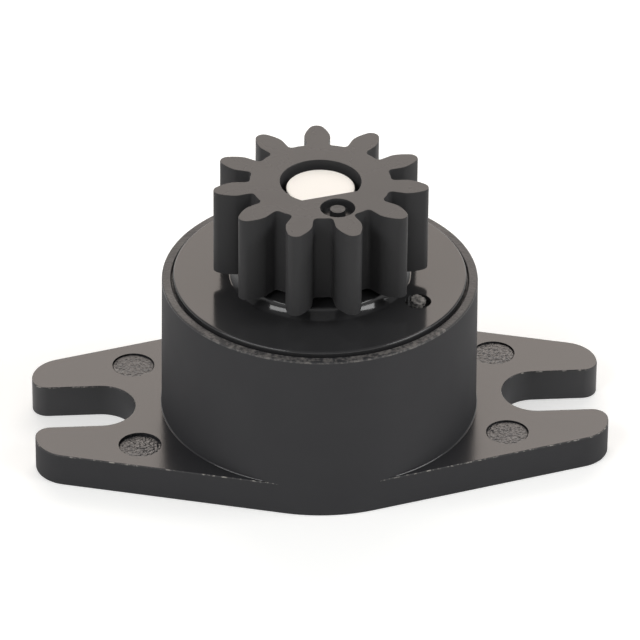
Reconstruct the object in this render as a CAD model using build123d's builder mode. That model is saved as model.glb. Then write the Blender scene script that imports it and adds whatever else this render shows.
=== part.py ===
from build123d import *

import os
from math import acos, cos, hypot, pi, radians, sin, tan

# Gear damper: a moulded housing with a forked mounting flange, a welded cap, a rotor that
# turns in silicone grease, and a spur pinion pressed on the rotor's D-shaft.
# Millimetres. The origin is on the rotor's axis, in the plane of the mounting face. +Z runs
# up the shaft and the two ears of the flange lie along +X and -X.

os.makedirs("parts", exist_ok=True)

# Barrel and rim
barrel_top_d = 15.28
barrel_draft = 0.45
barrel_height = 8.75
rim_width = 0.46
rim_chamfer = 0.1
foot_chamfer = 0.15
wall_thickness = 1.39
floor_thickness = 1.2

# Forked flange
flange_length = 27.92
flange_tip_width = 8.7
flange_thickness = 1.68
flange_edge_chamfer = 0.06
ear_corner_r = 1.75
slot_width = 3.45
slot_spacing = 21.45
slot_mouth_r = 0.75
ejector_mark_d = 2.08
ejector_mark_depth = 0.06
ejector_spacing_x = 17.85
ejector_spacing_y = 7.05

# Gate marks, where the plastic ran in and was broken off
floor_gate_d = 3.0
floor_gate_depth = 0.25
floor_gate_nub_d = 0.8
cap_gate_d = 1.27
cap_gate_depth = 0.3
cap_gate_nub_d = 0.7
cap_gate_nub_height = 0.42
cap_gate_radius = 5.35
cap_gate_angle = -32.4
gear_gate_d = 1.66
gear_gate_depth = 0.4
gear_gate_nub_d = 0.74
gear_gate_radius = 2.55

# Cap, which stands a little proud of the rim
cap_rise = 0.22
cap_thickness = 1.77
cap_gap = 0.08
cap_edge_chamfer = 0.1
boss_d = 8.0
boss_height = 0.5
boss_foot_chamfer = 0.35
boss_edge_chamfer = 0.12

# Rotor, its grease film and the walls that interleave with it
journal_d = 4.6
journal_clearance = 0.03
skirt_thickness = 1.6
ring_wall_thickness = 1.0
web_thickness = 1.3
film_gap = 0.2
film_clearance = 0.03
pin_d = 2.0
pin_height = 1.8
pin_clearance = 0.03
shaft_d = 3.9
shaft_flat_distance = 1.37
shaft_recess = 0.35
lead_in_d = 3.3
lead_in_length = 1.2
lead_in_chamfer = 0.05

# Seal
seal_width = 1.0
seal_height = 1.0
seal_clearance = 0.02

# Pinion, a standard involute gear with its teeth thinned for backlash
gear_module = 0.8
gear_teeth = 11
gear_pressure_angle = 20.0
gear_face_width = 4.43
gear_gap = 0.24
gear_root_depth = 1.25
tooth_thinning = 0.04
tooth_root_fillet = 0.2
gear_fit_clearance = 0.01
bore_chamfer = 0.04
index_angle = -75.5

# Levels and radii that follow from the sizes above
barrel_top_r = barrel_top_d / 2
barrel_foot_r = barrel_top_r + (barrel_height - flange_thickness) * tan(radians(barrel_draft))
cap_face_z = barrel_height + cap_rise
cap_underside_z = cap_face_z - cap_thickness
boss_top_z = cap_face_z + boss_height
gear_bottom_z = boss_top_z + gear_gap
gear_top_z = gear_bottom_z + gear_face_width
shaft_end_z = gear_top_z - shaft_recess
lead_in_z = shaft_end_z - lead_in_length

cavity_r = barrel_top_r - wall_thickness
cap_seat_r = barrel_top_r - rim_width
cap_r = cap_seat_r - cap_gap
drum_r = cavity_r - film_gap
drum_bottom_z = floor_thickness + film_gap
drum_top_z = cap_underside_z - film_gap
web_bottom_z = drum_top_z - web_thickness
skirt_inner_r = drum_r - skirt_thickness
ring_outer_r = skirt_inner_r - film_gap
ring_inner_r = ring_outer_r - ring_wall_thickness
ring_top_z = web_bottom_z - film_gap
hub_r = ring_inner_r - film_gap
pin_r = pin_d / 2
pin_top_z = floor_thickness + pin_height
pin_hole_r = pin_r + pin_clearance
journal_r = journal_d / 2
shaft_r = shaft_d / 2 - gear_fit_clearance
seal_inner_r = journal_r + seal_clearance
seal_outer_r = seal_inner_r + seal_width
seal_top_z = cap_underside_z + seal_clearance + seal_height
gland_r = seal_outer_r + seal_clearance
gland_top_z = seal_top_z + seal_clearance

pitch_r = gear_module * gear_teeth / 2
tip_r = pitch_r + gear_module
root_r = pitch_r - gear_root_depth * gear_module
pressure = radians(gear_pressure_angle)
base_r = pitch_r * cos(pressure)
tooth_arc = pi * gear_module / 2 - tooth_thinning


def box(low_x, low_z, high_x, high_z, mode=Mode.ADD):
    """A rectangle of a half section, from its lower inner corner to its upper outer one."""
    with Locations(((low_x + high_x) / 2, (low_z + high_z) / 2)):
        Rectangle(high_x - low_x, high_z - low_z, mode=mode)


def corner_at(sketch, x, z):
    """The corner of a half section at this radius and height."""
    return sketch.vertices().sort_by(lambda v: hypot(v.X - x, v.Y - z))[0]


# Housing

def ear_outline(inset=0.0):
    """The flange seen from above: a round the size of the barrel's foot, drawn out to four corners."""
    corner_x = flange_length - 2 * ear_corner_r
    corner_y = flange_tip_width - 2 * ear_corner_r
    with BuildSketch() as outline:
        Circle(barrel_foot_r - inset)
        with GridLocations(corner_x, corner_y, 2, 2):
            Circle(ear_corner_r - inset)
        make_hull()
    return outline.sketch


def slots():
    """Both screw slots, each with a round inner end and open at the tip of its ear."""
    with BuildSketch() as pair:
        with Locations((slot_spacing / 2, 0)):
            Circle(slot_width / 2)
            Rectangle(flange_length, slot_width, align=(Align.MIN, Align.CENTER))
        mirror(about=Plane.YZ)
    return pair.sketch


with BuildSketch(Plane.XZ) as cavity_section:
    box(0, floor_thickness, cavity_r, cap_underside_z)
    box(ring_inner_r, floor_thickness, ring_outer_r, ring_top_z, mode=Mode.SUBTRACT)
    box(0, floor_thickness, pin_r, pin_top_z, mode=Mode.SUBTRACT)

with BuildSketch(Plane.XZ) as barrel_section:
    with BuildLine():
        Polyline(
            (0, 0),
            (barrel_foot_r, 0),
            (barrel_foot_r, flange_thickness),
            (barrel_top_r, barrel_height),
            (0, barrel_height),
            close=True,
        )
    make_face()

# The bevel round the barrel's foot ends short of the flange's edge, because the flange's sides
# run tangent into the barrel and leave it no room there.
with BuildPart() as foot:
    with BuildSketch(Plane.XZ):
        with BuildLine():
            Polyline(
                (barrel_foot_r - foot_chamfer, flange_thickness / 2),
                (barrel_foot_r + foot_chamfer, flange_thickness / 2),
                (barrel_foot_r + foot_chamfer, flange_thickness),
                (barrel_foot_r - foot_chamfer, flange_thickness + 2 * foot_chamfer),
                close=True,
            )
        make_face()
    revolve(axis=Axis.Z)
    with BuildSketch():
        add(ear_outline(2 * flange_edge_chamfer))
    extrude(amount=barrel_height, mode=Mode.INTERSECT)

with BuildPart() as housing:
    with BuildSketch():
        add(ear_outline())
        add(slots(), mode=Mode.SUBTRACT)
    extrude(amount=flange_thickness)
    mouths = housing.edges().filter_by(Axis.Z).filter_by(
        lambda e: abs(abs(e.center().X) - flange_length / 2) < 0.01
        and abs(abs(e.center().Y) - slot_width / 2) < 0.01
    )
    fillet(mouths, slot_mouth_r)
    chamfer(housing.faces().sort_by(Axis.Z)[-1].edges(), flange_edge_chamfer)

    with BuildSketch(Plane.XZ):
        add(barrel_section.sketch)
    revolve(axis=Axis.Z)
    chamfer(housing.faces().sort_by(Axis.Z)[-1].edges(), rim_chamfer)
    add(foot.part)

    with BuildSketch(Plane.XZ):
        add(cavity_section.sketch)
        box(0, cap_underside_z, cap_seat_r, barrel_height)
    revolve(axis=Axis.Z, mode=Mode.SUBTRACT)

    with BuildSketch(Plane.XY.offset(flange_thickness)):
        with GridLocations(ejector_spacing_x, ejector_spacing_y, 2, 2):
            Circle(ejector_mark_d / 2)
    extrude(amount=-ejector_mark_depth, mode=Mode.SUBTRACT)

    with BuildSketch():
        Circle(floor_gate_d / 2)
        Circle(floor_gate_nub_d / 2, mode=Mode.SUBTRACT)
    extrude(amount=floor_gate_depth, mode=Mode.SUBTRACT)
housing.part.label = "housing"

# Cap

with BuildPart() as cap:
    with BuildSketch(Plane.XZ) as cap_section:
        box(0, cap_underside_z, cap_r, cap_face_z)
        box(0, cap_face_z, boss_d / 2, boss_top_z)
        box(0, cap_underside_z, gland_r, gland_top_z, mode=Mode.SUBTRACT)
        box(0, gland_top_z, journal_r + journal_clearance, boss_top_z, mode=Mode.SUBTRACT)
        chamfer(corner_at(cap_section, boss_d / 2, cap_face_z), boss_foot_chamfer)
        chamfer(corner_at(cap_section, boss_d / 2, boss_top_z), boss_edge_chamfer)
        chamfer(corner_at(cap_section, cap_r, cap_face_z), cap_edge_chamfer)
    revolve(axis=Axis.Z)
    with BuildSketch(Plane.XY.offset(cap_face_z)):
        with PolarLocations(cap_gate_radius, 1, start_angle=cap_gate_angle):
            Circle(cap_gate_d / 2)
    extrude(amount=-cap_gate_depth, mode=Mode.SUBTRACT)
    with BuildSketch(Plane.XY.offset(cap_face_z - cap_gate_depth)):
        with PolarLocations(cap_gate_radius, 1, start_angle=cap_gate_angle):
            Circle(cap_gate_nub_d / 2)
    extrude(amount=cap_gate_nub_height)
cap.part.label = "cap"

# Rotor

with BuildSketch(Plane.XZ) as drum_section:
    box(0, drum_bottom_z, drum_r, drum_top_z)
    box(hub_r, drum_bottom_z, skirt_inner_r, web_bottom_z, mode=Mode.SUBTRACT)


def d_shape(radius, flat_distance):
    """A round section with one flat, whose normal points along the index angle."""
    with BuildSketch() as section:
        Circle(radius)
        with Locations((flat_distance, 0)):
            Rectangle(
                2 * radius, 2 * radius, align=(Align.MIN, Align.CENTER), mode=Mode.SUBTRACT
            )
    return section.sketch.rotate(Axis.Z, index_angle)


with BuildPart() as rotor:
    with BuildSketch(Plane.XZ):
        add(drum_section.sketch)
        box(0, drum_top_z, journal_r, gear_bottom_z)
    revolve(axis=Axis.Z)
    with BuildSketch(Plane.XY.offset(drum_bottom_z)):
        Circle(pin_hole_r)
    extrude(amount=pin_height, mode=Mode.SUBTRACT)
    with BuildSketch(Plane.XY.offset(gear_bottom_z)):
        add(d_shape(shaft_r, shaft_flat_distance - gear_fit_clearance))
    extrude(amount=lead_in_z - gear_bottom_z)
    with BuildSketch(Plane.XY.offset(lead_in_z)):
        add(d_shape(lead_in_d / 2, shaft_flat_distance - gear_fit_clearance))
    extrude(amount=lead_in_length)
    chamfer(rotor.faces().sort_by(Axis.Z)[-1].edges(), lead_in_chamfer)
rotor.part.label = "rotor"

# Seal and grease

with BuildPart() as seal_ring:
    with BuildSketch(Plane.XZ):
        box(seal_inner_r, seal_top_z - seal_height, seal_outer_r, seal_top_z)
    revolve(axis=Axis.Z)
seal_ring.part.label = "seal_ring"

with BuildPart() as damping_grease:
    with BuildSketch(Plane.XZ) as film_section:
        add(cavity_section.sketch)
        offset(amount=-film_clearance, kind=Kind.INTERSECTION)
        with BuildSketch(mode=Mode.PRIVATE) as kept_out:
            add(drum_section.sketch_local)
            box(0, drum_bottom_z, journal_r, cap_underside_z)
            offset(amount=film_clearance, kind=Kind.INTERSECTION)
        add(kept_out.sketch_local, mode=Mode.SUBTRACT)
    revolve(axis=Axis.Z)
damping_grease.part.label = "damping_grease"

# Pinion


def half_tooth_angle(radius):
    """Half the angle that a tooth spans at this radius, on its involute flanks."""
    lean = acos(base_r / radius)
    return tooth_arc / (2 * pitch_r) + tan(pressure) - pressure - tan(lean) + lean


def flank_point(radius, side):
    """The point of a flank at this radius, for a tooth that points along +X."""
    angle = side * half_tooth_angle(radius)
    return (radius * cos(angle), radius * sin(angle))


def tip_top(radius):
    """How far out a tip round reaches when it meets both flanks at this radius."""
    half = half_tooth_angle(radius)
    slant = acos(base_r / radius) - half
    round_r = radius * sin(half) / cos(slant)
    return radius * cos(half) + round_r * (1 - sin(slant))


def tip_round_start():
    """The radius where the flanks end, so that the full round of the tip reaches the tip circle."""
    low, high = base_r, tip_r
    for _ in range(40):
        middle = (low + high) / 2
        if tip_top(middle) < tip_r:
            low = middle
        else:
            high = middle
    return low


def flank(side):
    """A flank, from the base circle to the tip round, as the arc through three of its points."""
    end_r = tip_round_start()
    radii = (base_r, (base_r + end_r) / 2, end_r)
    return ThreePointArc(*[flank_point(radius, side) for radius in radii])


with BuildSketch() as tooth:
    with BuildLine():
        half = half_tooth_angle(base_r)
        inner_r = root_r / 2
        inner_left = (inner_r * cos(half), inner_r * sin(half))
        inner_right = (inner_r * cos(half), -inner_r * sin(half))
        left = flank(1)
        right = flank(-1)
        ThreePointArc(left @ 1, (tip_r, 0), right @ 1)
        Polyline(left @ 0, inner_left, inner_right, right @ 0)
    make_face()

with BuildPart() as gear:
    with BuildSketch(Plane.XY.offset(gear_bottom_z)) as outline:
        Circle(root_r)
        with PolarLocations(0, gear_teeth, start_angle=index_angle):
            add(tooth.sketch)
        roots = outline.vertices().filter_by(lambda v: abs(hypot(v.X, v.Y) - root_r) < 0.01)
        fillet(roots, tooth_root_fillet)
        add(d_shape(shaft_d / 2, shaft_flat_distance), mode=Mode.SUBTRACT)
    extrude(amount=gear_face_width)
    chamfer(gear.faces().sort_by(Axis.Z)[-1].inner_wires().edges(), bore_chamfer)
    with BuildSketch(Plane.XY.offset(gear_top_z)):
        with PolarLocations(gear_gate_radius, 1, start_angle=index_angle):
            Circle(gear_gate_d / 2)
            Circle(gear_gate_nub_d / 2, mode=Mode.SUBTRACT)
    extrude(amount=-gear_gate_depth, mode=Mode.SUBTRACT)
gear.part.label = "gear"

export_step(housing.part, "parts/housing.step")
export_step(cap.part, "parts/cap.step")
export_step(rotor.part, "parts/rotor.step")
export_step(seal_ring.part, "parts/seal_ring.step")
export_step(damping_grease.part, "parts/damping_grease.step")
export_step(gear.part, "parts/gear.step")
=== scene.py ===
from math import acos, atan2, cos, hypot, pi, radians, sin, tan

import bmesh
import bpy
from mathutils import Matrix, Vector


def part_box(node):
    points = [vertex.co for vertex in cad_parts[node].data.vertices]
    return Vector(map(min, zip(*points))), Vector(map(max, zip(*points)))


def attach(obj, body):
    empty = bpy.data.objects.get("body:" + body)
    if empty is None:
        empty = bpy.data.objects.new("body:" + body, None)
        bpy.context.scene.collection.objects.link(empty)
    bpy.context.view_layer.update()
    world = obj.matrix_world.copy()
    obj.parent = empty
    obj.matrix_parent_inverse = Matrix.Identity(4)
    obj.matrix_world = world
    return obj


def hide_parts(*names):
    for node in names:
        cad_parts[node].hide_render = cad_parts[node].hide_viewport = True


bl_info = {
    "name": "Gear Damper",
    "version": (1, 0, 0),
    "blender": (4, 5, 0),
    "location": "View3D > Sidebar > Gear Damper",
    "description": "Models a small rotary damper with a pinion and a forked mounting flange",
    "category": "Object",
}

# The packed model is the fixed frame. Sizes are in metres, and MM turns millimetres into them.
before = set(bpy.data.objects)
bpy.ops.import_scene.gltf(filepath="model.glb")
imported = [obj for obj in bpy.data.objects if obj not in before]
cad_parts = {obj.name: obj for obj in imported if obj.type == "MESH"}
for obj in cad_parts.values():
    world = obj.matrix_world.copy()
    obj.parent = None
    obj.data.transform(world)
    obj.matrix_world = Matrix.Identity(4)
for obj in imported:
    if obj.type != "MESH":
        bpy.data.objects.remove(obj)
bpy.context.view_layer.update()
MM = 0.001

housing_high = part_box("housing")[1]
cap_low, cap_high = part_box("cap")
rotor_low, rotor_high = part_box("rotor")
gear_low, gear_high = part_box("gear")

CORNERS = ((-1, -1), (-1, 1), (1, -1), (1, 1))

# Steps round a full turn
HOUSING_STEPS = 360
CAP_STEPS = 256
ROTOR_STEPS = 192
SMALL_STEPS = 96
GROOVE_STEPS = 64
BEAD_STEPS = 540

# Corners closer than the first merge, and places closer than the second count as the same.
# The third is how far a cutting tool reaches past what it cuts.
MERGE_DISTANCE = 0.0002 * MM
NEAR = 0.01 * MM
PAST = MM

# Edges sharper than the first stay sharp in the shading, and those sharper than the second
# count as the rim of a face
SHARP_ANGLE = radians(35)
RIM_ANGLE = radians(60)

# The patches of a moulded plastic's gloss in millimetres, and the range of a noise's values
CLOUD_SIZE = 2.5
NOISE_LOW, NOISE_HIGH = 0.3, 0.7

# The lamps: name, azimuth and elevation in degrees, distance and size in metres, watts and tint
LAMPS = (
    ("back_softbox", 176, 34, 0.45, (0.5, 0.3), 1.0, "fff2e8"),
    ("left_softbox", -60, 43, 0.5, (0.4, 0.14), 0.92, "ffffff"),
    ("right_softbox", 73, 38, 0.5, (0.3, 0.16), 0.92, "ffffff"),
)

# The strengths of the world as a light, of the ceiling in a mirror, and of the floor's own glow
AMBIENT = 0.31
CEILING = 0.2
FLOOR_LIFT = 0.35
WHITE = (1.0, 1.0, 1.0, 1.0)

# The floor's edge in metres
FLOOR_SIZE = 4.0


def length(name, description, default):
    """A size property in metres, whose default is given in millimetres."""
    return bpy.props.FloatProperty(
        name=name, description=description, default=default * MM,
        min=0.0, precision=6, unit="LENGTH",
    )


def angle(name, description, default):
    """An angle property, whose default is given in degrees."""
    return bpy.props.FloatProperty(
        name=name, description=description, default=radians(default), subtype="ANGLE"
    )


def colour(name, description, default):
    """A colour property, kept as the text of an sRGB hex value."""
    return bpy.props.StringProperty(name=name, description=description, default=default)


class HousingSizes(bpy.types.PropertyGroup):
    """The moulded barrel and its forked flange."""

    half_length: length("Half length", "From the axis to the tip of an ear", housing_high.x / MM)
    foot_radius: length("Foot radius", "The barrel where it meets the flange", housing_high.y / MM)
    top_radius: length("Top radius", "The barrel at its rim", 7.64)
    height: length("Height", "From the mounting face to the rim", housing_high.z / MM)
    flange_thickness: length("Flange thickness", "The plate of the two ears", 1.68)
    tip_width: length("Tip width", "The width of an ear at its tip", 8.7)
    corner_radius: length("Corner radius", "The round corners of the ears", 1.75)
    edge_radius: length("Edge radius", "The fine rounds along the flange's edges", 0.05)
    slot_radius: length("Slot radius", "Half the width of a screw slot", 1.725)
    slot_distance: length("Slot distance", "From the axis to the round end of a slot", 10.725)
    mouth_radius: length("Mouth radius", "The rounds where a slot opens at the tip", 0.75)
    foot_fillet: length("Foot fillet", "The hollow round between flange and barrel", 0.09)
    rim_radius: length("Rim radius", "The round on the rim's outer edge", 0.08)
    mark_radius: length("Mark radius", "An ejector pin's mark", 1.04)
    mark_depth: length("Mark depth", "How deep an ejector pin's mark lies", 0.07)
    deep_mark: length("Deep mark", "The mark of the pin that stood out furthest", 0.13)
    mark_groove: length("Mark groove", "The width of the fine groove round a mark", 0.07)
    groove_depth: length("Groove depth", "How far that groove lies below the mark", 0.05)
    mark_x: length("Mark place along the flange", "From the axis to a mark's centre", 8.925)
    mark_y: length("Mark place across the flange", "From the middle to a mark's centre", 3.525)
    seat_radius: length("Seat radius", "The recess that takes the cap", 7.18)
    seat_edge: length("Seat edge", "The round on the rim's inner edge", 0.07)
    rim_band: length("Rim band", "How far down from the rim its scuffs reach", 0.3)
    bead_drop: length("Bead drop", "How far the weld's bead lies below the rim", 0.13)
    bead_height: length("Bead height", "The bead, from its root to its top", 0.4)
    bead_overlap: length("Bead overlap", "How far the bead sinks into rim and cap", 0.03)
    bead_wander: length("Bead wander", "How far the bead's ragged surface strays", 0.018)
    # The rim's pale torn edge is partly a painted highlight, and lies in this front sector only
    torn_left: angle("Torn on the left", "Where the rim's torn edge ends, from the front", -52)
    torn_right: angle("Torn on the right", "Where the rim's torn edge ends, from the front", 48)
    cavity_radius: length("Cavity radius", "The chamber round the rotor", 6.25)
    floor_height: length("Floor height", "The chamber's floor", 1.2)
    gate_radius: length("Gate radius", "The ring-shaped gate's mark in the underside", 1.5)
    gate_stub: length("Gate stub", "The stub in that mark", 0.4)
    gate_depth: length("Gate depth", "That mark", 0.25)
    ring_inner: length("Ring wall inside", "The wall that the rotor's skirt runs round", 3.25)
    ring_outer: length("Ring wall outside", "The wall that the rotor's skirt runs round", 4.25)
    ring_top: length("Ring wall top", "The height of the ring wall", 5.5)
    pin_radius: length("Pin radius", "The pin that centres the rotor", 1.0)
    pin_top: length("Pin top", "The height of the centring pin", 3.0)


class CapSizes(bpy.types.PropertyGroup):
    """The welded cap with the boss round the shaft."""

    radius: length("Radius", "The cap's edge", cap_high.x / MM)
    underside: length("Underside", "The height of the cap's underside", cap_low.z / MM)
    face: length("Face", "The height of the cap's upper face, just above the rim", 8.97)
    boss_radius: length("Boss radius", "The raised boss", 4.0)
    boss_top: length("Boss top", "The height of the boss", cap_high.z / MM)
    boss_fillet: length("Boss fillet", "The hollow round at the boss's foot", 0.42)
    boss_profile: bpy.props.FloatProperty(
        name="Boss profile",
        description="The shape of that hollow, from a chamfer at 0.25 to a quarter round at 0.5",
        default=0.34,
    )
    boss_edge: length("Boss edge", "The round on the boss's upper edge", 0.12)
    edge_radius: length("Edge radius", "The round on the cap's edge", 0.1)
    bore_radius: length("Bore radius", "The hole for the shaft", 2.33)
    bore_edge: length("Bore edge", "The round on the hole's upper edge", 0.05)
    gland_radius: length("Gland radius", "The pocket of the seal", 3.34)
    gland_top: length("Gland top", "The height of the seal's pocket", 8.24)
    gate_distance: length("Gate distance", "From the axis to the gate's dimple", 5.35)
    gate_radius: length("Gate radius", "The gate's dimple", 0.635)
    gate_depth: length("Gate depth", "The gate's dimple", 0.3)
    nub_radius: length("Nub radius", "The broken nub in the dimple", 0.36)
    nub_rise: length("Nub rise", "How far the broken nub stands over the face", 0.1)
    gate_angle: angle("Gate angle", "Where the gate's dimple lies round the axis", -32.4)


class RotorSizes(bpy.types.PropertyGroup):
    """The white rotor, of which the end of the shaft shows."""

    drum_radius: length("Drum radius", "The drum in the chamber", rotor_high.x / MM)
    drum_bottom: length("Drum bottom", "The height of the drum's underside", rotor_low.z / MM)
    drum_top: length("Drum top", "The height of the drum's upper side", 7.0)
    skirt_inner: length("Skirt inside", "The skirt round the ring wall", 4.45)
    hub_radius: length("Hub radius", "The hub inside the ring wall", 3.05)
    web_bottom: length("Web bottom", "The height of the web's underside", 5.7)
    hole_radius: length("Hole radius", "The hole for the centring pin", 1.03)
    hole_top: length("Hole top", "The height of that hole's end", 3.2)
    journal_radius: length("Journal radius", "The shaft where it runs in the cap", 2.3)
    shaft_radius: length("Shaft radius", "The shaft inside the pinion", 1.94)
    shaft_flat: length("Shaft flat", "From the axis to the shaft's flat", 1.36)
    lead_in_radius: length("Lead-in radius", "The shaft's narrower end", 1.65)
    lead_in_length: length("Lead-in length", "The shaft's narrower end", 1.2)
    shaft_end: length("Shaft end", "The height of the shaft's end", rotor_high.z / MM)
    end_radius: length("End radius", "The round on the shaft's end", 0.05)


class GearSizes(bpy.types.PropertyGroup):
    """The pinion, a spur gear with involute teeth."""

    teeth: bpy.props.IntProperty(name="Teeth", description="Number of teeth", default=11, min=6)
    module: length("Module", "The pitch diameter over the number of teeth", 0.8)
    tooth_thinning: length("Tooth thinning", "How much the teeth are thinned for backlash", 0.04)
    root_depth: length("Root depth", "From the pitch circle to the root circle", 1.0)
    root_fillet: length("Root fillet", "The hollow rounds at the foot of the teeth", 0.2)
    edge_radius: length("Edge radius", "The round on the edges of the upper face", 0.035)
    bore_radius: length("Bore radius", "The hole for the shaft", 1.95)
    bore_flat: length("Bore flat", "From the axis to the bore's flat", 1.37)
    bore_edge: length("Bore edge", "The round on the bore's upper edge", 0.03)
    gate_distance: length("Gate distance", "From the axis to the gate's mark", 2.55)
    gate_radius: length("Gate radius", "The ring-shaped gate's mark", 0.83)
    nub_radius: length("Nub radius", "The stub in the gate's mark", 0.36)
    gate_depth: length("Gate depth", "The groove round the stub", 0.4)
    stub_drop: length("Stub drop", "How far the stub lies below the upper face", 0.06)
    bottom: length("Bottom", "The height of the pinion's underside", gear_low.z / MM)
    top: length("Top", "The height of the pinion's upper face", gear_high.z / MM)
    pressure_angle: angle("Pressure angle", "The standard angle of the teeth's flanks", 20)
    index_angle: angle("Index angle", "Where the bore's flat and one tooth lie", -75.5)


class Finishes(bpy.types.PropertyGroup):
    """The colours of the plastics, as sRGB hex values."""

    housing: colour("Housing", "Black polycarbonate of barrel and flange", "303032")
    walls: colour("Walls", "Black polycarbonate where the mould was eroded", "38383a")
    # Also painted pale as the highlight along the flange's edges
    flash_and_highlight: colour("Flash and highlight", "Whitened polycarbonate where the flange's fins broke off, also painted pale as the edges' highlight", "a09c96")
    # Pale in patches on the rim's front round, partly torn plastic and partly a painted highlight
    rim: colour("Rim", "Polycarbonate whitened along the rim, partly a painted highlight", "6c6966")
    cap: colour("Cap", "Black polycarbonate of the cap", "323233")
    nub: colour("Nub", "Polycarbonate whitened where the cap's gate was torn off", "a39f9a")
    gear: colour("Gear", "Black acetal of the pinion", "2f2f30")
    flanks: colour("Flanks", "Black acetal on the teeth's flanks", "3e3e3f")
    stub: colour("Stub", "Acetal whitened where the pinion's gate was cut off", "454443")
    rotor: colour("Rotor", "Natural acetal of the rotor", "fbf7f0")
    seal: colour("Seal", "Black silicone rubber", "202020")
    grease: colour("Grease", "Clear silicone grease", "dcdccb")
    floor: colour("Floor", "Pale studio floor", "f4f4f2")


# Selecting and shaping

def deselect():
    """Leave no object selected."""
    bpy.ops.object.select_all(action="DESELECT")


def take(piece):
    """Select a piece alone and make it the active one."""
    deselect()
    piece.select_set(True)
    bpy.context.view_layer.objects.active = piece


def newest(name):
    """The object that an operator just made or joined, under this name."""
    piece = bpy.context.object
    piece.name = piece.data.name = name
    return piece


def edit(piece):
    """Open a piece alone in edit mode."""
    take(piece)
    bpy.ops.object.mode_set(mode="EDIT")


def close():
    """Leave edit mode."""
    bpy.ops.object.mode_set(mode="OBJECT")


def select_whole():
    """Select the whole mesh in edit mode."""
    bpy.ops.mesh.select_all(action="SELECT")


def pick(piece, kind, wanted):
    """Select the corners, edges or faces that pass a test, in edit mode, and count them."""
    bpy.ops.mesh.select_mode(type=kind)
    bpy.ops.mesh.select_all(action="DESELECT")
    mesh = bmesh.from_edit_mesh(piece.data)
    parts = {"VERT": mesh.verts, "EDGE": mesh.edges, "FACE": mesh.faces}[kind]
    picked = [part for part in parts if wanted(part)]
    for part in picked:
        part.select_set(True)
    bmesh.update_edit_mesh(piece.data)
    return len(picked)


def shift(piece, x, y):
    """Move a piece's mesh sideways, so that its object stays at the origin."""
    edit(piece)
    select_whole()
    bpy.ops.transform.translate(value=(x, y, 0))
    close()
    return piece


def round_edges(piece, wanted, radius, segments=4, profile=0.5):
    """Round the edges of a piece that pass a test."""
    edit(piece)
    if not pick(piece, "EDGE", wanted):
        raise RuntimeError(f"{piece.name} has no edge to round there")
    bpy.ops.mesh.bevel(offset=radius, segments=segments, profile=profile, affect="EDGES")
    close()


def at_ring(radius, height):
    """A test for the edges of a ring round the axis, at this radius and height."""

    def wanted(edge):
        return all(
            abs(hypot(corner.co.x, corner.co.y) - radius) < NEAR
            and abs(corner.co.z - height) < NEAR
            for corner in edge.verts
        )

    return wanted


def on_rim_of(height):
    """A test for the sharp edges that lie in the plane at this height."""

    def wanted(edge):
        return (
            all(abs(corner.co.z - height) < 0.1 * NEAR for corner in edge.verts)
            and len(edge.link_faces) == 2
            and edge.calc_face_angle(0.0) > RIM_ANGLE
        )

    return wanted


def heal():
    """Close the seams of the piece in edit mode and turn its faces outwards."""
    select_whole()
    bpy.ops.mesh.remove_doubles(threshold=MERGE_DISTANCE)
    bpy.ops.mesh.normals_make_consistent(inside=False)


def clear_slivers(piece):
    """Merge the corners that cuts and unions leave side by side, and drop the slivers between."""
    edit(piece)
    select_whole()
    bpy.ops.mesh.remove_doubles(threshold=10 * MERGE_DISTANCE)
    bpy.ops.mesh.dissolve_degenerate(threshold=2 * MERGE_DISTANCE)
    close()


def draw_chain(name, points):
    """Start a piece as a chain of edges, drawn by pulling one vertex from point to point."""
    deselect()
    bpy.ops.mesh.primitive_plane_add(size=MM)
    piece = newest(name)
    bpy.ops.object.mode_set(mode="EDIT")
    bpy.ops.mesh.select_mode(type="VERT")
    select_whole()
    bpy.ops.mesh.merge(type="CENTER")
    bpy.ops.transform.translate(value=points[0])
    for start, end in zip(points, points[1:]):
        step = Vector(end) - Vector(start)
        bpy.ops.mesh.extrude_region_move(TRANSFORM_OT_translate={"value": step})
    return piece


def stepped(*values):
    """A profile of level and upright steps, from its radii and heights in turn."""
    pairs = zip(values, values[1:])
    return [pair[::-1] if number % 2 else pair for number, pair in enumerate(pairs)]


def turn(name, profile, steps):
    """A solid turned round the axis from a closed profile of radii and heights."""
    points = [(radius, 0.0, height) for radius, height in profile]
    if profile[0][0] > 0 or profile[-1][0] > 0:
        points.append(points[0])
    piece = draw_chain(name, points)
    select_whole()
    bpy.ops.mesh.remove_doubles(threshold=MERGE_DISTANCE)
    select_whole()
    bpy.ops.mesh.spin(steps=steps, angle=2 * pi, center=(0, 0, 0), axis=(0, 0, 1))
    heal()
    close()
    return piece


def round_bar(name, x, y, radius, bottom, top, steps=SMALL_STEPS):
    """An upright round bar."""
    deselect()
    bpy.ops.mesh.primitive_cylinder_add(
        vertices=steps, radius=radius, depth=top - bottom, location=(x, y, (top + bottom) / 2)
    )
    piece = newest(name)
    bpy.ops.object.transform_apply(location=True, rotation=True, scale=True)
    return piece


def add_pieces(piece, parts):
    """Take other closed solids up into a piece, as shells of their own."""
    take(piece)
    for part in parts:
        part.select_set(True)
    bpy.ops.object.join()


def hull_of(name, bars):
    """One solid stretched like a skin over several upright bars, which it takes up."""
    add_pieces(bars[0], bars[1:])
    piece = newest(name)
    edit(piece)
    select_whole()
    bpy.ops.mesh.convex_hull(
        delete_unused=True, use_existing_faces=False, make_holes=False, join_triangles=True
    )
    select_whole()
    bpy.ops.mesh.dissolve_limited(angle_limit=radians(0.3))
    heal()
    close()
    return piece


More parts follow.
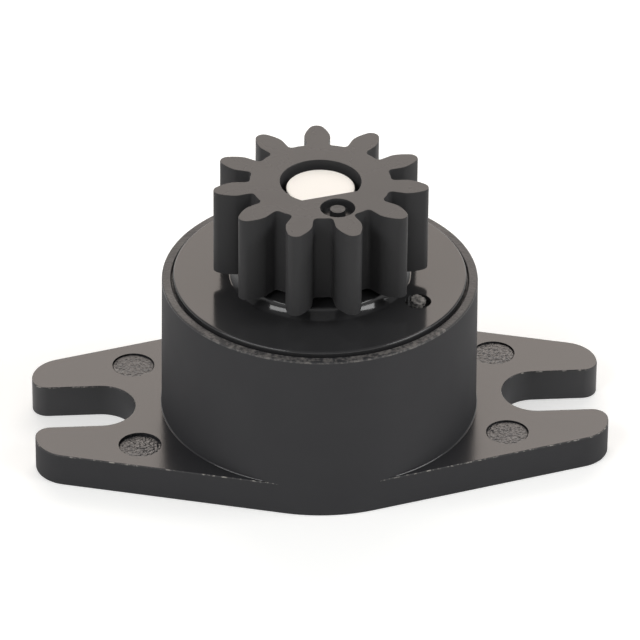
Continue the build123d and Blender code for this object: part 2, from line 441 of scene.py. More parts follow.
def combine(piece, tool, operation):
    """Join a tool to a piece, cut it from the piece, or keep what both share."""
    modifier = piece.modifiers.new("Combine", "BOOLEAN")
    modifier.operation = operation
    modifier.solver = "EXACT"
    modifier.object = tool
    take(piece)
    bpy.ops.object.modifier_apply(modifier=modifier.name)
    bpy.data.objects.remove(tool)
    if not piece.data.polygons:
        raise RuntimeError(f"{piece.name} was lost when {operation.lower()} ran")


def cut_off(place, normal, beyond=True):
    """In edit mode, cut off what lies beyond a plane, or what lies before it, and close the cut."""
    select_whole()
    bpy.ops.mesh.bisect(
        plane_co=place, plane_no=normal, threshold=MERGE_DISTANCE,
        use_fill=True, clear_outer=beyond, clear_inner=not beyond,
    )


def cut_flat(piece, distance, heading):
    """Cut a bar to a flat at this distance from the axis, which faces this way."""
    normal = Vector((cos(heading), sin(heading), 0.0))
    edit(piece)
    cut_off(normal * distance, normal)
    close()


def level(face):
    """A test for flat faces that lie level."""
    return abs(face.normal.z) > 0.9999


def plumb(face):
    """A test for walls that stand plumb, or lean only by the mould's draft."""
    return abs(face.normal.z) < 0.02


def finish_piece(piece, body, node, slot, material, *others):
    """Shade a finished piece, give it its materials, and put it in the place of its CAD node.

    One material covers the piece, and each other one comes with a test for its own faces.
    """
    take(piece)
    bpy.ops.object.shade_smooth_by_angle(angle=SHARP_ANGLE)
    # Level and plumb faces are shaded as they lie, so that the rounds beside don't bend them
    edit(piece)
    for wanted in (level, plumb):
        pick(piece, "FACE", wanted)
        bpy.ops.mesh.set_normals_from_faces(keep_sharp=True)
    close()
    piece.data.materials.clear()
    piece.data.materials.append(material)
    for number, (other, wanted) in enumerate(others, start=1):
        piece.data.materials.append(other)
        for face in filter(wanted, piece.data.polygons):
            face.material_index = number
    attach(piece, body)
    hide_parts(node)


def at_angle(distance, heading):
    """The place at this distance from the axis, in this direction."""
    return distance * cos(heading), distance * sin(heading)


def upright(face):
    """A test for the faces of walls, which stand within about thirty degrees of plumb."""
    return abs(face.normal.z) < 0.5


# Materials

def linear(hex_value):
    """An sRGB hex value as a linear colour with full alpha."""
    shares = [int(hex_value[i : i + 2], 16) / 255 for i in (0, 2, 4)]
    return [s / 12.92 if s <= 0.04045 else ((s + 0.055) / 1.055) ** 2.4 for s in shares] + [1.0]


def per_mm(size):
    """The scale of a pattern whose grain has this size in millimetres."""
    return 1 / (size * MM)


def add_node(tree, kind, inputs=None, **settings):
    """Add a node, set its properties, and set or link its inputs."""
    node = tree.nodes.new(kind)
    for name, value in settings.items():
        setattr(node, name, value)
    for name, value in (inputs or {}).items():
        if isinstance(value, bpy.types.NodeSocket):
            tree.links.new(value, node.inputs[name])
        else:
            node.inputs[name].default_value = value
    return node


def new_material(name):
    """An empty node material, its tree and its output node."""
    material = bpy.data.materials.new(name)
    material.use_nodes = True
    tree = material.node_tree
    tree.nodes.clear()
    return material, tree, add_node(tree, "ShaderNodeOutputMaterial")


def grained_plastic(tree, output, place, looks, grain, depth, detail):
    """Give a material these looks, and a grain with this size and depth in millimetres."""
    noise = {"Vector": place, "Scale": per_mm(grain), "Detail": detail}
    fine = add_node(tree, "ShaderNodeTexNoise", noise)
    bumps = {"Height": fine.outputs["Fac"], "Strength": 1.0, "Distance": depth * MM}
    looks["Normal"] = add_node(tree, "ShaderNodeBump", bumps).outputs["Normal"]
    shader = add_node(tree, "ShaderNodeBsdfPrincipled", looks)
    tree.links.new(shader.outputs["BSDF"], output.inputs["Surface"])


def moulded_plastic(
    name, hex_value, ior, roughness, spread=0.05, grain=0.1, depth=0.001, detail=4.0
):
    """A moulded plastic: a mottled gloss over a fine grain, sized in millimetres."""
    material, tree, output = new_material(name)
    place = add_node(tree, "ShaderNodeTexCoord").outputs["Object"]
    # Cloudy patches of a few millimetres, where the melt met a cooler or hotter mould wall
    noise = {"Vector": place, "Scale": per_mm(CLOUD_SIZE), "Detail": 3.0}
    clouds = add_node(tree, "ShaderNodeTexNoise", noise)
    levels = {"Value": clouds.outputs["Fac"], "From Min": NOISE_LOW, "From Max": NOISE_HIGH}
    limits = {"To Min": roughness - spread, "To Max": roughness + spread}
    gloss = add_node(tree, "ShaderNodeMapRange", levels | limits)
    looks = {"Base Color": linear(hex_value), "IOR": ior, "Roughness": gloss.outputs["Result"]}
    grained_plastic(tree, output, place, looks, grain, depth, detail)
    return material


def torn_plastic_and_highlight(name, hex_value, whitened, low, high, grain=0.06):
    """Torn plastic: whitened in patches between two levels of noise, and coarsely grained. On the
    flange's edges and the rim's front, the pale patches are also a painted highlight.
    """
    material, tree, output = new_material(name)
    place = add_node(tree, "ShaderNodeTexCoord").outputs["Object"]
    noise = {"Vector": place, "Scale": per_mm(3 * grain), "Detail": 5.0}
    patches = add_node(tree, "ShaderNodeTexNoise", noise)
    levels = {"Value": patches.outputs["Fac"], "From Min": low, "From Max": high}
    white = add_node(tree, "ShaderNodeMapRange", levels)
    tints = {"Factor": white.outputs["Result"], "A": linear(hex_value), "B": linear(whitened)}
    tint = add_node(tree, "ShaderNodeMix", tints, data_type="RGBA")
    looks = {"Base Color": tint.outputs["Result"], "IOR": 1.5, "Roughness": 0.48}
    grained_plastic(tree, output, place, looks, grain, 0.2 * grain, 2.0)
    return material


# Pieces

def ear_hull(name, sizes, inset, bottom, top):
    """The outline of barrel foot and ears, drawn in by an inset, as an upright solid."""
    corner_x = sizes.half_length - sizes.corner_radius
    corner_y = sizes.tip_width / 2 - sizes.corner_radius
    radius = sizes.corner_radius - inset
    bars = [round_bar("bar", 0, 0, sizes.foot_radius - inset, bottom, top, HOUSING_STEPS)]
    for side_x, side_y in CORNERS:
        bars.append(round_bar("bar", side_x * corner_x, side_y * corner_y, radius, bottom, top))
    return hull_of(name, bars)


def slotted_plate(sizes):
    """The flange's plate with its two open slots."""
    hair = 0.4 * NEAR
    top = sizes.flange_thickness
    plate = ear_hull("housing_shell", sizes, hair, 0.0, top)
    for side in (-1, 1):
        ends = [
            round_bar("bar", side * x, 0, sizes.slot_radius, -PAST, top + PAST)
            for x in (sizes.slot_distance, sizes.half_length + 3 * PAST)
        ]
        combine(plate, hull_of("slot", ends), "DIFFERENCE")

    def at_mouth(edge):
        return all(
            abs(abs(corner.co.x) - sizes.half_length) < 2 * NEAR
            and abs(abs(corner.co.y) - sizes.slot_radius) < 2 * NEAR
            for corner in edge.verts
        )

    round_edges(plate, at_mouth, sizes.mouth_radius, segments=8)
    round_edges(plate, on_rim_of(top), sizes.edge_radius)
    round_edges(plate, on_rim_of(0.0), sizes.edge_radius, segments=2)
    return plate


def barrel(sizes):
    """The solid barrel, tapered for the mould, with a round on its rim."""
    sunk = sizes.flange_thickness / 4
    profile = [
        (0, sunk), (sizes.foot_radius, sunk), (sizes.foot_radius, sizes.flange_thickness),
        (sizes.top_radius, sizes.height), (0, sizes.height),
    ]
    piece = turn("barrel", profile, HOUSING_STEPS)
    round_edges(piece, at_ring(sizes.top_radius, sizes.height), sizes.rim_radius, segments=5)
    return piece


def foot_flare(sizes):
    """The hollow round at the barrel's foot, cut back to where the flange leaves it room."""
    hair = 0.3 * NEAR
    fillet = sizes.foot_fillet
    centre_r = sizes.foot_radius + fillet - 2 * hair
    centre_z = sizes.flange_thickness + fillet - hair
    steps = 8
    bends = [pi / 2 * step / steps for step in range(steps + 1)]
    arc = [(centre_r - fillet * sin(bend), centre_z - fillet * cos(bend)) for bend in bends]
    inner_r = sizes.foot_radius - fillet
    low_z = sizes.flange_thickness / 2
    profile = [(inner_r, low_z), (centre_r, low_z)] + arc + [(inner_r, centre_z)]
    flare = turn("flare", profile, HOUSING_STEPS)
    limit = ear_hull("limit", sizes, sizes.edge_radius + NEAR, 0.0, sizes.height)
    combine(flare, limit, "INTERSECT")
    return flare


def chamber(sizes, cap_underside):
    """The space inside the housing: the seat of the cap, the chamber and its ring wall."""
    floor = sizes.floor_height
    pin = (0, sizes.pin_top, sizes.pin_radius, floor)
    ring = (sizes.ring_inner, sizes.ring_top, sizes.ring_outer, floor)
    seat = (sizes.cavity_radius, cap_underside, sizes.seat_radius, sizes.height + PAST, 0)
    return turn("chamber", stepped(*pin, *ring, *seat), HOUSING_STEPS)


def mark_cutter(sizes, side_x, side_y, depth):
    """What an ejector pin prints into the flange: a shallow disc with a finer groove round it."""
    step = sizes.mark_radius - sizes.mark_groove
    floor = sizes.flange_thickness - depth
    deeper = floor - sizes.groove_depth
    profile = [
        (0, floor), (step, floor), (step + 0.3 * sizes.mark_groove, deeper),
        (sizes.mark_radius, deeper), (sizes.mark_radius, floor + PAST), (0, floor + PAST),
    ]
    cutter = turn("mark", profile, SMALL_STEPS)
    return shift(cutter, side_x * sizes.mark_x, side_y * sizes.mark_y)


def weld_bead(sizes, cap_radius):
    """The ragged bead of melted plastic in the gap between rim and cap."""
    middle = (cap_radius + sizes.seat_radius) / 2
    half = (sizes.seat_radius - cap_radius) / 2 + sizes.bead_overlap
    top = sizes.height - sizes.bead_drop
    root = top - sizes.bead_height
    shoulder = top - 0.05 * sizes.bead_height
    profile = [
        (middle - 0.6 * half, root), (middle + 0.6 * half, root), (middle + half, shoulder),
        (middle + 0.4 * half, top), (middle - 0.4 * half, top), (middle - half, shoulder),
    ]
    bead = turn("bead", profile, BEAD_STEPS)
    edit(bead)
    pick(bead, "VERT", lambda corner: corner.co.z > (root + top) / 2)
    bpy.ops.transform.vertex_random(offset=sizes.bead_wander, uniform=1.0, normal=0.0, seed=3)
    close()
    return bead


def floor_gate(sizes):
    """What the gate leaves in the middle of the underside: a shallow ring round a stub."""
    ring = stepped(sizes.gate_stub, -PAST, sizes.gate_radius, sizes.gate_depth, sizes.gate_stub)
    return turn("floor_gate", ring, SMALL_STEPS)


class DAMPER_OT_housing(bpy.types.Operator):
    """Model the housing: a barrel on a plate with two slotted ears"""

    bl_idname = "damper.housing"
    bl_label = "Housing"
    bl_options = {"REGISTER", "UNDO"}

    def execute(self, context):
        sizes = context.scene.damper_housing
        shell = slotted_plate(sizes)
        combine(shell, barrel(sizes), "UNION")
        combine(shell, foot_flare(sizes), "UNION")
        clear_slivers(shell)
        combine(shell, floor_gate(sizes), "DIFFERENCE")
        for side_x, side_y in CORNERS:
            depth = sizes.deep_mark if side_x < 0 and side_y < 0 else sizes.mark_depth
            combine(shell, mark_cutter(sizes, side_x, side_y, depth), "DIFFERENCE")
        combine(shell, chamber(sizes, context.scene.damper_cap.underside), "DIFFERENCE")
        clear_slivers(shell)
        round_edges(shell, at_ring(sizes.seat_radius, sizes.height), sizes.seat_edge, segments=3)
        add_pieces(shell, [weld_bead(sizes, context.scene.damper_cap.radius)])

        finishes = context.scene.damper_finishes
        black = finishes.housing
        # Polished mould faces come out glossy, as on the flange and the rim
        gloss = moulded_plastic(
            "Moulded black polycarbonate, glossy", black,
            ior=1.585, roughness=0.2, spread=0.03, grain=0.12, depth=0.0012,
        )
        # The drawn walls are matt, because the mould is only eroded there
        matt = moulded_plastic(
            "Moulded black polycarbonate, matt", finishes.walls,
            ior=1.3, roughness=0.7, spread=0.04, depth=0.002,
        )
        # The slots' walls were milled in the mould, which leaves them satin
        satin = moulded_plastic(
            "Moulded black polycarbonate, satin", finishes.walls,
            ior=1.45, roughness=0.5, depth=0.0015,
        )
        # An ejector pin's end is only ground, so its print is coarse
        ground = moulded_plastic(
            "Ground pin print in black polycarbonate", black,
            ior=1.585, roughness=0.25, spread=0.08, grain=0.15, depth=0.075, detail=1.0,
        )
        # The rim is scuffed where the welding horn pressed the cap in
        scuffed = moulded_plastic(
            "Scuffed black polycarbonate", black,
            ior=1.5, roughness=0.4, spread=0.1, grain=0.15, depth=0.03,
        )
        # Thin flash that broke off leaves the edges ragged and whitened in places. The pale patches
        # along the flange's edge rounds and slot ends are also a painted highlight.
        flash_and_highlight = torn_plastic_and_highlight(
            "Torn flash of black polycarbonate", black, finishes.flash_and_highlight, low=0.52, high=0.66
        )
        # Along the front of the rim's outer round the pale patches are partly torn plastic and
        # partly a painted highlight
        ragged = torn_plastic_and_highlight(
            "Ragged edge of black polycarbonate", black, finishes.rim, low=0.42, high=0.66
        )
        plate = sizes.flange_thickness

        def in_mark(face):
            x, y, z = face.center
            from_mark = hypot(abs(x) - sizes.mark_x, abs(y) - sizes.mark_y)
            return from_mark < sizes.mark_radius + NEAR and plate / 2 < z < plate - NEAR

        def on_rim(face):
            return face.center.z > sizes.height - sizes.rim_band

        # The rim's outer round in the front sector, where the pale patches are partly a painted
        # highlight
        def on_rim_edge_highlight(face):
            x, y, z = face.center
            torn = sizes.torn_left < atan2(x, -y) < sizes.torn_right
            return torn and hypot(x, y) > sizes.seat_radius and z > sizes.height - sizes.rim_radius

        # The leaning faces of the flange's upper edge rounds, where the pale patches are a painted
        # highlight
        def on_flange_edge_highlight(face):
            leans = 0.1 < face.normal.z < 0.98
            return leans and plate - 1.1 * sizes.edge_radius < face.center.z < plate

        def on_slot_wall(face):
            x, y, z = face.center
            between = abs(y) < sizes.tip_width / 2 - sizes.corner_radius and z < plate
            return upright(face) and between and abs(x) > sizes.foot_radius + MM

        finish_piece(
            shell, "housing", "housing", "housing_black", gloss,
            (matt, upright), (satin, on_slot_wall), (ground, in_mark),
            (scuffed, on_rim), (flash_and_highlight, on_flange_edge_highlight), (ragged, on_rim_edge_highlight),
        )
        return {"FINISHED"}


def broken_nub(sizes, gate_x, gate_y):
    """The torn end of the gate's runner, a rough lump that stands a little over the face."""
    deselect()
    bpy.ops.mesh.primitive_ico_sphere_add(
        subdivisions=3, radius=sizes.nub_radius, location=(gate_x, gate_y, sizes.face)
    )
    nub = newest("nub")
    bpy.ops.object.transform_apply(location=True, rotation=True, scale=True)
    edit(nub)
    select_whole()
    wander = 0.16 * sizes.nub_radius
    bpy.ops.transform.vertex_random(offset=wander, uniform=0.8, normal=0.4, seed=7)
    root = sizes.face - sizes.gate_depth - 10 * NEAR
    tip = sizes.face + sizes.nub_rise
    cut_off((gate_x, gate_y, root), (0, 0, 1), beyond=False)
    # The break at the top is a little aslant
    cut_off((gate_x, gate_y, tip), (0.12, -0.2, 1))
    close()
    return nub


class DAMPER_OT_cap(bpy.types.Operator):
    """Model the cap: a disc with a boss round the shaft and a gate's dimple"""

    bl_idname = "damper.cap"
    bl_label = "Cap"
    bl_options = {"REGISTER", "UNDO"}

    def execute(self, context):
        sizes = context.scene.damper_cap
        face = sizes.face
        gland = (sizes.bore_radius, sizes.gland_top, sizes.gland_radius, sizes.underside)
        upper = (sizes.radius, face, sizes.boss_radius, sizes.boss_top, sizes.bore_radius)
        disc = turn("cap_disc", stepped(*gland, *upper), CAP_STEPS)
        for radius, height, size, segments, profile in (
            (sizes.radius, face, sizes.edge_radius, 4, 0.5),
            (sizes.boss_radius, face, sizes.boss_fillet, 8, sizes.boss_profile),
            (sizes.boss_radius, sizes.boss_top, sizes.boss_edge, 6, 0.5),
            (sizes.bore_radius, sizes.boss_top, sizes.bore_edge, 3, 0.5),
        ):
            round_edges(disc, at_ring(radius, height), size, segments, profile)
        gate_x, gate_y = at_angle(sizes.gate_distance, sizes.gate_angle)
        bottom = face - sizes.gate_depth
        dimple = round_bar("dimple", gate_x, gate_y, sizes.gate_radius, bottom, face + PAST)
        combine(disc, dimple, "DIFFERENCE")
        combine(disc, broken_nub(sizes, gate_x, gate_y), "UNION")

        finishes = context.scene.damper_finishes
        # The cap's mould was polished, which leaves it the glossiest piece
        polished = moulded_plastic(
            "Moulded black polycarbonate, polished", finishes.cap,
            ior=1.5, roughness=0.13, spread=0.03, grain=0.3, depth=0.0008,
        )
        # The plastic tore and whitened where the gate's runner was broken off
        torn = torn_plastic_and_highlight(
            "Torn black polycarbonate", finishes.cap, finishes.nub, low=0.38, high=0.7, grain=0.08
        )

        def on_nub(face):
            from_gate = hypot(face.center.x - gate_x, face.center.y - gate_y)
            return from_gate < 1.25 * sizes.nub_radius and face.center.z > bottom + NEAR

        finish_piece(disc, "housing", "cap", "cap_black", polished, (torn, on_nub))
        return {"FINISHED"}


class DAMPER_OT_rotor(bpy.types.Operator):
    """Model the rotor: a drum with a skirt, a journal and a shaft with a flat"""

    bl_idname = "damper.rotor"
    bl_label = "Rotor"
    bl_options = {"REGISTER", "UNDO"}

    def execute(self, context):
        sizes = context.scene.damper_rotor
        gear = context.scene.damper_gear
        bottom = sizes.drum_bottom
        hub = (0, sizes.hole_top, sizes.hole_radius, bottom, sizes.hub_radius, sizes.web_bottom)
        skirt = (sizes.skirt_inner, bottom, sizes.drum_radius, sizes.drum_top)
        journal = (sizes.journal_radius, gear.bottom, 0)
        drum = turn("rotor_shaft", stepped(*hub, *skirt, *journal), ROTOR_STEPS)
        shoulder = sizes.shaft_end - sizes.lead_in_length
        inside = (0, gear.bottom - PAST, sizes.shaft_radius, shoulder)
        lead_in = (sizes.lead_in_radius, sizes.shaft_end, 0)
        shaft = turn("shaft", stepped(*inside, *lead_in), ROTOR_STEPS)
        cut_flat(shaft, sizes.shaft_flat, gear.index_angle)
        round_edges(shaft, on_rim_of(sizes.shaft_end), sizes.end_radius)
        combine(drum, shaft, "UNION")
        clear_slivers(drum)
        # Acetal without pigment is a milky white
        white = context.scene.damper_finishes.rotor
        acetal = moulded_plastic("Moulded natural acetal, satin", white, ior=1.48, roughness=0.4)
        finish_piece(drum, "rotor", "rotor", "rotor_white", acetal)
        return {"FINISHED"}


def tooth_outline(sizes):
    """The outline of one tooth and half the gaps beside it, on the side of the index angle."""
    pitch_r = sizes.module * sizes.teeth / 2
    tip_r = pitch_r + sizes.module
    root_r = pitch_r - sizes.root_depth
    pressure = sizes.pressure_angle
    base_r = pitch_r * cos(pressure)
    tooth_arc = pi * sizes.module / 2 - sizes.tooth_thinning

    def half_angle(radius):
        lean = acos(base_r / radius)
        return tooth_arc / (2 * pitch_r) + tan(pressure) - pressure - tan(lean) + lean

    def tip_round(radius):
        half = half_angle(radius)
        slant = acos(base_r / radius) - half
        round_r = radius * sin(half) / cos(slant)
        return radius * cos(half) - round_r * sin(slant), round_r, slant

    low, high = base_r, tip_r
    for _ in range(40):
        middle = (low + high) / 2
        centre, round_r, _slant = tip_round(middle)
        low, high = (middle, high) if centre + round_r < tip_r else (low, middle)
    centre, round_r, slant = tip_round(low)

    gap = pi / sizes.teeth
    half_side = [(root_r, gap), (root_r, half_angle(base_r)), (base_r, half_angle(base_r))]
    steps = 10
    for step in range(1, steps):
        radius = base_r + (low - base_r) * step / steps
        half_side.append((radius, half_angle(radius)))
    for step in range(steps + 1):
        turned = (pi / 2 - slant) * (1 - step / steps)
        x, y = centre + round_r * cos(turned), round_r * sin(turned)
        half_side.append((hypot(x, y), atan2(y, x)))
    other_side = [(radius, -turned) for radius, turned in reversed(half_side[:-1])]
    return [
        (*at_angle(radius, sizes.index_angle + turned), sizes.bottom)
        for radius, turned in half_side + other_side
    ]


def gate_groove(sizes, gate_x, gate_y):
    """What the gate leaves in the pinion: a steep groove round a stub."""
    floor = sizes.top - sizes.gate_depth
    stub = sizes.top - sizes.stub_drop
    slope = 0.1 * (sizes.gate_radius - sizes.nub_radius)
    profile = [
        (0, stub), (sizes.nub_radius, stub), (sizes.nub_radius + 0.5 * slope, floor),
        (sizes.gate_radius - slope, floor), (sizes.gate_radius, sizes.top),
        (sizes.gate_radius, sizes.top + PAST), (0, sizes.top + PAST),
    ]
    return shift(turn("groove", profile, GROOVE_STEPS), gate_x, gate_y)


class DAMPER_OT_gear(bpy.types.Operator):
    """Model the pinion from one tooth, which is copied round the axis"""

    bl_idname = "damper.gear"
    bl_label = "Pinion"
    bl_options = {"REGISTER", "UNDO"}

    def execute(self, context):
        sizes = context.scene.damper_gear
        pinion = draw_chain("pinion", tooth_outline(sizes))
        select_whole()
        bpy.ops.mesh.spin(
            steps=sizes.teeth, dupli=True, angle=2 * pi, center=(0, 0, 0), axis=(0, 0, 1)
        )
        select_whole()
        bpy.ops.mesh.remove_doubles(threshold=0.5 * NEAR)
        select_whole()
        bpy.ops.mesh.edge_face_add()
        bpy.ops.mesh.extrude_region_move(
            TRANSFORM_OT_translate={"value": (0, 0, sizes.top - sizes.bottom)}
        )
        heal()
        close()

        root_r = sizes.module * sizes.teeth / 2 - sizes.root_depth
        gap = pi / sizes.teeth

        def at_root_corner(edge):
            low, high = edge.verts
            stands = hypot(low.co.x - high.co.x, low.co.y - high.co.y) < 0.1 * NEAR
            turned = (atan2(low.co.y, low.co.x) - sizes.index_angle) % (2 * gap)
            in_gap = abs(turned - gap) < 0.1 * gap
            return stands and abs(hypot(low.co.x, low.co.y) - root_r) < 0.5 * NEAR and not in_gap

        round_edges(pinion, at_root_corner, sizes.root_fillet, segments=5)
        ends = (sizes.bottom - PAST, sizes.top + PAST)
        bore = round_bar("bore", 0, 0, sizes.bore_radius, *ends, ROTOR_STEPS)
        cut_flat(bore, sizes.bore_flat, sizes.index_angle)
        combine(pinion, bore, "DIFFERENCE")
        gate_x, gate_y = at_angle(sizes.gate_distance, sizes.index_angle)
        combine(pinion, gate_groove(sizes, gate_x, gate_y), "DIFFERENCE")

        sharp = on_rim_of(sizes.top)

        def on_bore(edge):
            near = all(
                hypot(corner.co.x, corner.co.y) < sizes.bore_radius + NEAR
                and hypot(corner.co.x - gate_x, corner.co.y - gate_y) > sizes.gate_radius + NEAR
                for corner in edge.verts
            )
            return near and sharp(edge)

        round_edges(pinion, on_bore, sizes.bore_edge)
        round_edges(pinion, sharp, sizes.edge_radius, segments=2)

        finishes = context.scene.damper_finishes
        # The ground end of the cavity leaves the upper face satin
        satin = moulded_plastic(
            "Moulded black acetal, satin", finishes.gear, ior=1.41, roughness=0.27, spread=0.03
        )
        # The wire-eroded cavity leaves the teeth's flanks matt
        matt = moulded_plastic(
            "Moulded black acetal, matt", finishes.flanks, ior=1.2, roughness=0.5, spread=0.04
        )
        # The stub is paler, where the gate was cut off
        torn = torn_plastic_and_highlight(
            "Torn black acetal", finishes.gear, finishes.stub, low=0.4, high=0.6, grain=0.1
        )

        def from_gate(face):
            return hypot(face.center.x - gate_x, face.center.y - gate_y)

        def on_flank(face):
            return upright(face) and from_gate(face) > 1.1 * sizes.gate_radius

        def on_stub(face):
            return from_gate(face) < 1.02 * sizes.nub_radius and level(face)

        others = ((matt, on_flank), (torn, on_stub))
        finish_piece(pinion, "rotor", "gear", "gear_black", satin, *others)
        return {"FINISHED"}


class DAMPER_OT_inside(bpy.types.Operator):
    """Give the seal and the grease, which lie inside, their finishes"""

    bl_idname = "damper.inside"
    bl_label = "Seal and Grease"
    bl_options = {"REGISTER", "UNDO"}

    def execute(self, context):
        finishes = context.scene.damper_finishes
        # Rubber scatters what light reaches it, and grease shines as a liquid does
        rubber = moulded_plastic(
            "Silicone rubber, matt", finishes.seal,
            ior=1.43, roughness=0.65, spread=0.08, grain=0.05, depth=0.004,
        )
        grease = moulded_plastic(
            "Silicone grease, wet", finishes.grease,
            ior=1.4, roughness=0.12, grain=0.6, depth=0.01,
        )
        for node, material in (("seal_ring", rubber), ("damping_grease", grease)):
            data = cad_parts[node].data
            data.materials.clear()
            data.materials.append(material)
        return {"FINISHED"}


# Stage

class StageSettings(bpy.types.PropertyGroup):
    """The camera, the lamps and the floor."""

    azimuth: angle("Azimuth", "The camera's turn round the axis", -4.3429)
    elevation: angle("Elevation", "The camera's height above the horizon", 32.8147)
    roll: angle("Roll", "The camera's turn about its own line of sight", 0.4603)
    distance: length("Distance", "From the camera to its target", 300.0)
    lens: bpy.props.FloatProperty(
        name="Lens",
        description="Focal length on a 36 mm wide frame",
        default=343.71,
        subtype="DISTANCE_CAMERA",
    )
    target_right: length("Target to the right", "The target's offset across the view", 0.0668)
    target_up: length("Target up", "The target's offset up the view", 5.2404)


def seen_from(azimuth, elevation):
    """The direction from the object to a place round it, with the azimuth counted from -Y."""
    return Vector((sin(azimuth) * cos(elevation), -cos(azimuth) * cos(elevation), sin(elevation)))


def put_up(scene, data, matrix):
    """Put a camera or a lamp into the scene, under the name of its data."""
    thing = bpy.data.objects.new(data.name, data)
    scene.collection.objects.link(thing)
    thing.matrix_world = matrix
    return thing


def place_camera(scene, settings):
    """The camera at the photographed angle, with a long lens."""
    back = seen_from(settings.azimuth, settings.elevation)
    right = Vector((cos(settings.azimuth), sin(settings.azimuth), 0.0))
    up = back.cross(right)
    roll = settings.roll
    right, up = right * cos(roll) + up * sin(roll), up * cos(roll) - right * sin(roll)
    target = right * settings.target_right + up * settings.target_up
    data = bpy.data.cameras.new("camera")
    data.lens = settings.lens
    data.sensor_width = 36.0
    data.clip_start = 0.01
    data.clip_end = 10.0
    axes = Matrix((right, up, back)).transposed().to_4x4()
    place = Matrix.Translation(target + back * settings.distance)
    scene.camera = put_up(scene, data, place @ axes)


def add_lamp(scene, name, azimuth, elevation, distance, size, power, tint):
    """A soft lamp that faces the object from this direction, in degrees and metres."""
    back = seen_from(radians(azimuth), radians(elevation))
    data = bpy.data.lights.new(name, "AREA")
    data.shape = "RECTANGLE"
    data.size, data.size_y = size
    data.energy = power
    data.color = linear(tint)[:3]
    axes = back.to_track_quat("Z", "Y").to_matrix().to_4x4()
    put_up(scene, data, Matrix.Translation(back * distance) @ axes)


def mirrored_rays(tree, path):
    """One for the rays that show a surrounding in a mirror or through glass."""
    rays = {0: path.outputs["Is Glossy Ray"], 1: path.outputs["Is Transmission Ray"]}
    total = add_node(tree, "ShaderNodeMath", rays, operation="ADD", use_clamp=True)
    return total.outputs[0]


def light_world(scene, ambient, ceiling):
    """White as seen, plain as a light, and in a mirror white walls under a dim studio ceiling."""
    world = bpy.data.worlds.new("Studio")
    world.use_nodes = True
    tree = world.node_tree
    tree.nodes.clear()
    path = add_node(tree, "ShaderNodeLightPath")
    direction = add_node(tree, "ShaderNodeTexCoord").outputs["Generated"]
    height = add_node(tree, "ShaderNodeSeparateXYZ", {"Vector": direction}).outputs["Z"]
    room = {"Value": height, "From Min": 0.1, "From Max": 0.5, "To Min": 1.0, "To Max": ceiling}
    walls = add_node(tree, "ShaderNodeMapRange", room).outputs["Result"]
    lit = {"Value": mirrored_rays(tree, path), "To Min": ambient, "To Max": walls}
    light = add_node(tree, "ShaderNodeMapRange", lit).outputs["Result"]
    seen = {"Value": path.outputs["Is Camera Ray"], "To Min": light, "To Max": 1.0}
    strength = add_node(tree, "ShaderNodeMapRange", seen).outputs["Result"]
    background = add_node(tree, "ShaderNodeBackground", {"Color": WHITE, "Strength": strength})
    output = add_node(tree, "ShaderNodeOutputWorld")
    tree.links.new(background.outputs[0], output.inputs["Surface"])
    scene.world = world


def floor_material(hex_value, lift):
    """Pale matt studio board, lifted to white where it is seen, and still darker in a shadow."""
    material, tree, output = new_material("Matt studio board")
    board = add_node(tree, "ShaderNodeBsdfDiffuse", {"Color": linear(hex_value)})
    path = add_node(tree, "ShaderNodeLightPath")
    rays = {0: path.outputs["Is Camera Ray"], 1: mirrored_rays(tree, path)}
    seen = add_node(tree, "ShaderNodeMath", rays, operation="ADD", use_clamp=True)
    glow = add_node(tree, "ShaderNodeMath", {0: seen.outputs[0], 1: lift}, operation="MULTIPLY")
    lifted = add_node(tree, "ShaderNodeEmission", {"Color": WHITE, "Strength": glow.outputs[0]})
    both = add_node(tree, "ShaderNodeAddShader", {0: board.outputs[0], 1: lifted.outputs[0]})
    tree.links.new(both.outputs[0], output.inputs["Surface"])
    return material


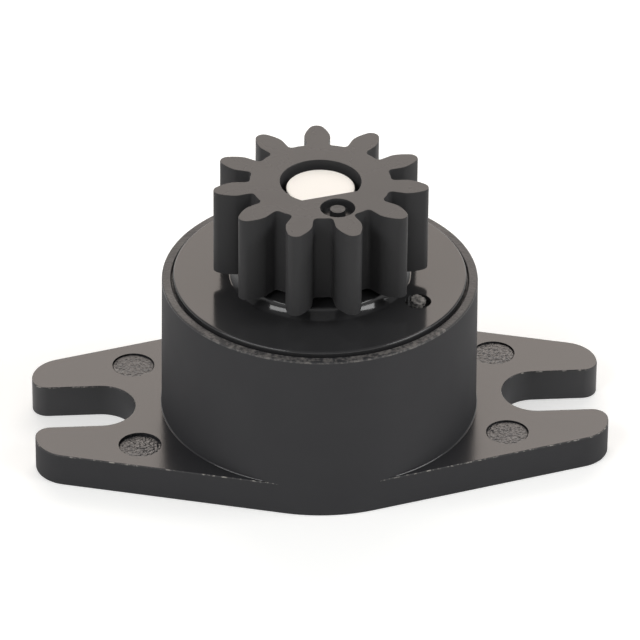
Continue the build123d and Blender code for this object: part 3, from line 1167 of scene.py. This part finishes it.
class DAMPER_OT_stage(bpy.types.Operator):
    """Set up the floor, the lamps and the camera"""

    bl_idname = "damper.stage"
    bl_label = "Stage"
    bl_options = {"REGISTER", "UNDO"}

    def execute(self, context):
        scene = context.scene
        scene.view_settings.view_transform = "Standard"
        place_camera(scene, scene.damper_stage)
        light_world(scene, AMBIENT, CEILING)
        for lamp in LAMPS:
            add_lamp(scene, *lamp)
        deselect()
        # A hair below the mounting face, so that the two don't lie in one plane
        bpy.ops.mesh.primitive_plane_add(size=FLOOR_SIZE, location=(0, 0, -NEAR))
        floor = newest("floor")
        floor.data.materials.append(floor_material(scene.damper_finishes.floor, FLOOR_LIFT))
        return {"FINISHED"}


class DAMPER_PT_panel(bpy.types.Panel):
    """Sizes, finishes and pieces of the gear damper"""

    bl_idname = "DAMPER_PT_panel"
    bl_label = "Gear Damper"
    bl_space_type = "VIEW_3D"
    bl_region_type = "UI"
    bl_category = "Gear Damper"

    def draw(self, context):
        for operator in OPERATORS:
            self.layout.operator(operator.bl_idname)
        for name, group in GROUPS.items():
            settings = getattr(context.scene, name)
            box = self.layout.box()
            box.label(text=group.__doc__)
            for field in group.__annotations__:
                box.prop(settings, field)


GROUPS = {
    "damper_housing": HousingSizes,
    "damper_cap": CapSizes,
    "damper_rotor": RotorSizes,
    "damper_gear": GearSizes,
    "damper_finishes": Finishes,
    "damper_stage": StageSettings,
}
OPERATORS = (
    DAMPER_OT_housing,
    DAMPER_OT_cap,
    DAMPER_OT_rotor,
    DAMPER_OT_gear,
    DAMPER_OT_inside,
    DAMPER_OT_stage,
)


def register():
    """Register the groups, operators and panel, and hang the groups on the scene."""
    for name, group in GROUPS.items():
        bpy.utils.register_class(group)
        setattr(bpy.types.Scene, name, bpy.props.PointerProperty(type=group))
    for kind in (*OPERATORS, DAMPER_PT_panel):
        bpy.utils.register_class(kind)


def unregister():
    """Take everything off again, in the opposite order."""
    for kind in (DAMPER_PT_panel, *reversed(OPERATORS)):
        bpy.utils.unregister_class(kind)
    for name, group in reversed(GROUPS.items()):
        delattr(bpy.types.Scene, name)
        bpy.utils.unregister_class(group)


def main():
    """Register the add-on, and make every piece and the stage."""
    register()
    bpy.ops.damper.housing()
    bpy.ops.damper.cap()
    bpy.ops.damper.rotor()
    bpy.ops.damper.gear()
    bpy.ops.damper.inside()
    bpy.ops.damper.stage()


if __name__ == "__main__":
    main()
